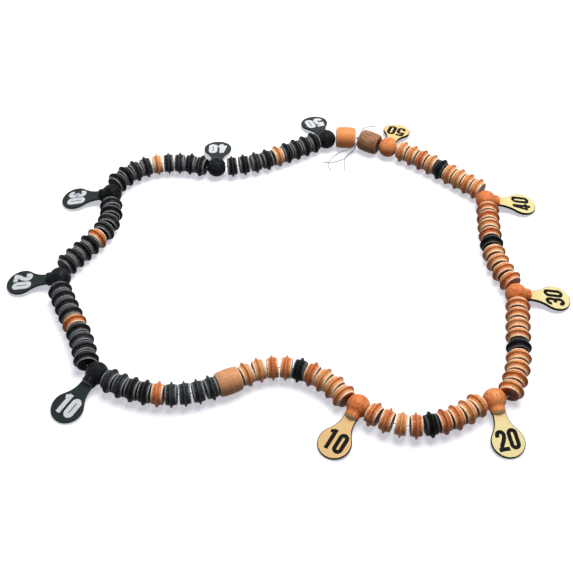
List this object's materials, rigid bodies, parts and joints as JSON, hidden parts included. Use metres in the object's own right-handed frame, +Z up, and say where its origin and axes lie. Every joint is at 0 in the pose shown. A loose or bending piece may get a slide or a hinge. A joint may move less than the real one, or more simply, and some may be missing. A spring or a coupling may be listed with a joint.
{
  "type": "billiard bead scorer",
  "caption": "Billiard bead scorer: a pale side and a dark side of turned wooden beads with number plates, strung on one loop of clear thread.",
  "frame": {"origin": "on the table, under the middle of the whole outline", "axes": "+Z up, square to the table; +X along the outline's length, from the dark side to the pale side; +Y from the front barrel to the knot"},
  "size_m": [0.5126, 0.4312, 0.022],
  "materials": {
    "pale_wood": "satin varnish",
    "dark_wood": "satin stain",
    "brown_wood": "satin varnish",
    "cream_plate": "satin",
    "black_plate": "satin",
    "thread": "clear nylon"
  },
  "bodies": {
    "thread": {"string": "thread", "string_knot": "thread", "string_end_near": "thread", "string_end_curled": "thread", "string_end_straight": "thread", "string_end_outer": "thread"},
    "dark_end_barrel": {"dark_end_barrel": "pale_wood"},
    "dark_pointer_50": {"dark_pointer_50": "dark_wood", "dark_plate_50": "black_plate"},
    "dark_beads_46_49": {"dark_beads_46_49": "dark_wood"},
    "dark_side_marker_45": {"dark_side_marker_45": "pale_wood"},
    "dark_beads_41_44": {"dark_beads_41_44": "dark_wood"},
    "dark_pointer_40": {"dark_pointer_40": "dark_wood", "dark_plate_40": "black_plate"},
    "dark_beads_36_39": {"dark_beads_36_39": "dark_wood"},
    "dark_side_marker_35": {"dark_side_marker_35": "pale_wood"},
    "dark_beads_31_34": {"dark_beads_31_34": "dark_wood"},
    "dark_pointer_30": {"dark_pointer_30": "dark_wood", "dark_plate_30": "black_plate"},
    "dark_beads_26_29": {"dark_beads_26_29": "dark_wood"},
    "dark_side_marker_25": {"dark_side_marker_25": "pale_wood"},
    "dark_beads_21_24": {"dark_beads_21_24": "dark_wood"},
    "dark_pointer_20": {"dark_pointer_20": "dark_wood", "dark_plate_20": "black_plate"},
    "dark_beads_16_19": {"dark_beads_16_19": "dark_wood"},
    "dark_side_marker_15": {"dark_side_marker_15": "pale_wood"},
    "dark_beads_11_14": {"dark_beads_11_14": "dark_wood"},
    "dark_pointer_10": {"dark_pointer_10": "dark_wood", "dark_plate_10": "black_plate"},
    "dark_beads_06_09": {"dark_beads_06_09": "dark_wood"},
    "dark_side_marker_05": {"dark_side_marker_05": "pale_wood"},
    "dark_beads_01_04": {"dark_beads_01_04": "dark_wood"},
    "front_barrel": {"front_barrel": "pale_wood"},
    "pale_beads_01_04": {"pale_beads_01_04": "pale_wood"},
    "pale_side_marker_05": {"pale_side_marker_05": "dark_wood"},
    "pale_beads_06_09": {"pale_beads_06_09": "pale_wood"},
    "pale_pointer_10": {"pale_pointer_10": "pale_wood", "pale_plate_10": "cream_plate"},
    "pale_beads_11_14": {"pale_beads_11_14": "pale_wood"},
    "pale_side_marker_15": {"pale_side_marker_15": "dark_wood"},
    "pale_beads_16_19": {"pale_beads_16_19": "pale_wood"},
    "pale_pointer_20": {"pale_pointer_20": "pale_wood", "pale_plate_20": "cream_plate"},
    "pale_beads_21_24": {"pale_beads_21_24": "pale_wood"},
    "pale_side_marker_25": {"pale_side_marker_25": "dark_wood"},
    "pale_beads_26_29": {"pale_beads_26_29": "pale_wood"},
    "pale_pointer_30": {"pale_pointer_30": "pale_wood", "pale_plate_30": "cream_plate"},
    "pale_beads_31_34": {"pale_beads_31_34": "pale_wood"},
    "pale_side_marker_35": {"pale_side_marker_35": "dark_wood"},
    "pale_beads_36_39": {"pale_beads_36_39": "pale_wood"},
    "pale_pointer_40": {"pale_pointer_40": "pale_wood", "pale_plate_40": "cream_plate"},
    "pale_beads_41_44": {"pale_beads_41_44": "pale_wood"},
    "pale_side_marker_45": {"pale_side_marker_45": "dark_wood"},
    "pale_beads_46_49": {"pale_beads_46_49": "pale_wood"},
    "pale_pointer_50": {"pale_pointer_50": "pale_wood", "pale_plate_50": "cream_plate"},
    "pale_end_barrel": {"pale_end_barrel": "brown_wood"}
  },
  "joints": [
    {"name": "dark_end_barrel_spin", "type": "hinge", "parent": "thread", "child": "dark_end_barrel", "pos_m": [0.06204, 0.16952, 0.011], "axis": [-0.999, 0.0436, 0], "continuous": true},
    {"name": "dark_pointer_50_swing", "type": "hinge", "parent": "thread", "child": "dark_pointer_50", "pos_m": [0.04151, 0.16685, 0.011], "axis": [-0.9471, -0.3209, 0], "range_deg": [-195, 125]},
    {"name": "dark_beads_46_49_slide", "type": "slide", "parent": "thread", "child": "dark_beads_46_49", "axis": [-0.8637, -0.5041, 0], "range_m": [-0.0003, 0.0009]},
    {"name": "dark_side_marker_45_spin", "type": "hinge", "parent": "thread", "child": "dark_side_marker_45", "pos_m": [-0.00934, 0.13961, 0.011], "axis": [-0.8802, -0.4746, 0], "continuous": true},
    {"name": "dark_beads_41_44_slide", "type": "slide", "parent": "thread", "child": "dark_beads_41_44", "axis": [-0.9592, -0.2826, 0], "range_m": [-0.0018, 0.0012]},
    {"name": "dark_pointer_40_swing", "type": "hinge", "parent": "thread", "child": "dark_pointer_40", "pos_m": [-0.07087, 0.12294, 0.011], "axis": [-0.9998, -0.0175, 0], "continuous": true},
    {"name": "dark_beads_36_39_slide", "type": "slide", "parent": "thread", "child": "dark_beads_36_39", "axis": [-0.9927, 0.1205, 0], "range_m": [-0.0002, 0.0005]},
    {"name": "dark_side_marker_35_spin", "type": "hinge", "parent": "thread", "child": "dark_side_marker_35", "pos_m": [-0.13089, 0.12684, 0.011], "axis": [-0.9718, -0.236, 0], "continuous": true},
    {"name": "dark_beads_31_34_slide", "type": "slide", "parent": "thread", "child": "dark_beads_31_34", "axis": [-0.7464, -0.6655, 0], "range_m": [-0.0006, 0.0015]},
    {"name": "dark_pointer_30_swing", "type": "hinge", "parent": "thread", "child": "dark_pointer_30", "pos_m": [-0.17207, 0.08294, 0.011], "axis": [-0.0205, -0.9998, 0], "continuous": true},
    {"name": "dark_beads_26_29_slide", "type": "slide", "parent": "thread", "child": "dark_beads_26_29", "axis": [-0.0786, -0.9969, 0], "range_m": [-0.0018, 0.0002]},
    {"name": "dark_side_marker_25_spin", "type": "hinge", "parent": "thread", "child": "dark_side_marker_25", "pos_m": [-0.17885, 0.02092, 0.011], "axis": [-0.5562, -0.831, 0], "continuous": true},
    {"name": "dark_beads_21_24_slide", "type": "slide", "parent": "thread", "child": "dark_beads_21_24", "axis": [-0.5633, -0.8263, 0], "range_m": [-0.0004, 0.0016]},
    {"name": "dark_pointer_20_swing", "type": "hinge", "parent": "thread", "child": "dark_pointer_20", "pos_m": [-0.20568, -0.02936, 0.011], "axis": [-0.013, -0.9999, 0], "continuous": true},
    {"name": "dark_beads_16_19_slide", "type": "slide", "parent": "thread", "child": "dark_beads_16_19", "axis": [0.4283, -0.9036, 0], "range_m": [-0.0017, 0.0008]},
    {"name": "dark_side_marker_15_spin", "type": "hinge", "parent": "thread", "child": "dark_side_marker_15", "pos_m": [-0.1847, -0.08421, 0.011], "axis": [0.4618, -0.887, 0], "continuous": true},
    {"name": "dark_beads_11_14_slide", "type": "slide", "parent": "thread", "child": "dark_beads_11_14", "axis": [0.3371, -0.9415, 0], "range_m": [-0.0006, 0.001]},
    {"name": "dark_pointer_10_swing", "type": "hinge", "parent": "thread", "child": "dark_pointer_10", "pos_m": [-0.15829, -0.13738, 0.011], "axis": [0.8134, -0.5817, 0], "continuous": true},
    {"name": "dark_beads_06_09_slide", "type": "slide", "parent": "thread", "child": "dark_beads_06_09", "axis": [0.9318, -0.363, 0], "range_m": [-0.0003, 0.0002]},
    {"name": "dark_side_marker_05_spin", "type": "hinge", "parent": "thread", "child": "dark_side_marker_05", "pos_m": [-0.10529, -0.15908, 0.011], "axis": [0.9936, -0.113, 0], "continuous": true},
    {"name": "dark_beads_01_04_slide", "type": "slide", "parent": "thread", "child": "dark_beads_01_04", "axis": [0.9779, 0.209, 0], "range_m": [-0.0002, 0.0003]},
    {"name": "front_barrel_spin", "type": "hinge", "parent": "thread", "child": "front_barrel", "pos_m": [-0.04807, -0.14627, 0.011], "axis": [0.9055, 0.4244, 0], "continuous": true},
    {"name": "pale_beads_01_04_slide", "type": "slide", "parent": "thread", "child": "pale_beads_01_04", "axis": [0.9786, 0.2059, 0], "range_m": [-0.0003, 0.0002]},
    {"name": "pale_side_marker_05_spin", "type": "hinge", "parent": "thread", "child": "pale_side_marker_05", "pos_m": [0.01126, -0.13444, 0.011], "axis": [0.9491, -0.3149, 0], "continuous": true},
    {"name": "pale_beads_06_09_slide", "type": "slide", "parent": "thread", "child": "pale_beads_06_09", "axis": [0.7538, -0.6571, 0], "range_m": [-0.0002, 0.0003]},
    {"name": "pale_pointer_10_swing", "type": "hinge", "parent": "thread", "child": "pale_pointer_10", "pos_m": [0.05831, -0.17072, 0.011], "axis": [0.8408, -0.5414, 0], "continuous": true},
    {"name": "pale_beads_11_14_slide", "type": "slide", "parent": "thread", "child": "pale_beads_11_14", "axis": [0.9487, -0.3162, 0], "range_m": [-0.0002, 0.0004]},
    {"name": "pale_side_marker_15_spin", "type": "hinge", "parent": "thread", "child": "pale_side_marker_15", "pos_m": [0.11545, -0.18897, 0.011], "axis": [0.9802, 0.1981, 0], "continuous": true},
    {"name": "pale_beads_16_19_slide", "type": "slide", "parent": "thread", "child": "pale_beads_16_19", "axis": [0.8765, 0.4814, 0], "range_m": [-0.0003, 0.0004]},
    {"name": "pale_pointer_20_swing", "type": "hinge", "parent": "thread", "child": "pale_pointer_20", "pos_m": [0.16974, -0.16446, 0.011], "axis": [0.9813, 0.1927, 0], "continuous": true},
    {"name": "pale_beads_21_24_slide", "type": "slide", "parent": "thread", "child": "pale_beads_21_24", "axis": [0.3272, 0.9449, 0], "range_m": [-0.0008, 0.0012]},
    {"name": "pale_side_marker_25_spin", "type": "hinge", "parent": "thread", "child": "pale_side_marker_25", "pos_m": [0.1984, -0.11087, 0.011], "axis": [0.1193, 0.9929, 0], "continuous": true},
    {"name": "pale_beads_26_29_slide", "type": "slide", "parent": "thread", "child": "pale_beads_26_29", "axis": [0.1462, 0.9893, 0], "range_m": [-0.002, 0.0003]},
    {"name": "pale_pointer_30_swing", "type": "hinge", "parent": "thread", "child": "pale_pointer_30", "pos_m": [0.20569, -0.04916, 0.011], "axis": [-0.026, 0.9997, 0], "continuous": true},
    {"name": "pale_beads_31_34_slide", "type": "slide", "parent": "thread", "child": "pale_beads_31_34", "axis": [-0.2726, 0.9621, 0], "range_m": [-0.0009, 0.0013]},
    {"name": "pale_side_marker_35_spin", "type": "hinge", "parent": "thread", "child": "pale_side_marker_35", "pos_m": [0.19253, 0.01279, 0.011], "axis": [0.0157, 0.9999, 0], "continuous": true},
    {"name": "pale_beads_36_39_slide", "type": "slide", "parent": "thread", "child": "pale_beads_36_39", "axis": [0.0684, 0.9977, 0], "range_m": [-0.0017, 0.0002]},
    {"name": "pale_pointer_40_swing", "type": "hinge", "parent": "thread", "child": "pale_pointer_40", "pos_m": [0.19532, 0.07367, 0.011], "axis": [-0.0438, 0.999, 0], "continuous": true},
    {"name": "pale_beads_41_44_slide", "type": "slide", "parent": "thread", "child": "pale_beads_41_44", "axis": [-0.7532, 0.6577, 0], "range_m": [-0.001, 0.0012]},
    {"name": "pale_side_marker_45_spin", "type": "hinge", "parent": "thread", "child": "pale_side_marker_45", "pos_m": [0.15634, 0.11902, 0.011], "axis": [-0.7456, 0.6664, 0], "continuous": true},
    {"name": "pale_beads_46_49_slide", "type": "slide", "parent": "thread", "child": "pale_beads_46_49", "axis": [-0.8066, 0.5911, 0], "range_m": [-0.0015, 0.0016]},
    {"name": "pale_pointer_50_swing", "type": "hinge", "parent": "thread", "child": "pale_pointer_50", "pos_m": [0.10499, 0.15355, 0.011], "axis": [-0.9443, 0.3289, 0], "continuous": true},
    {"name": "pale_end_barrel_spin", "type": "hinge", "parent": "thread", "child": "pale_end_barrel", "pos_m": [0.08646, 0.16229, 0.011], "axis": [-0.8616, 0.5075, 0], "continuous": true}
  ]
}
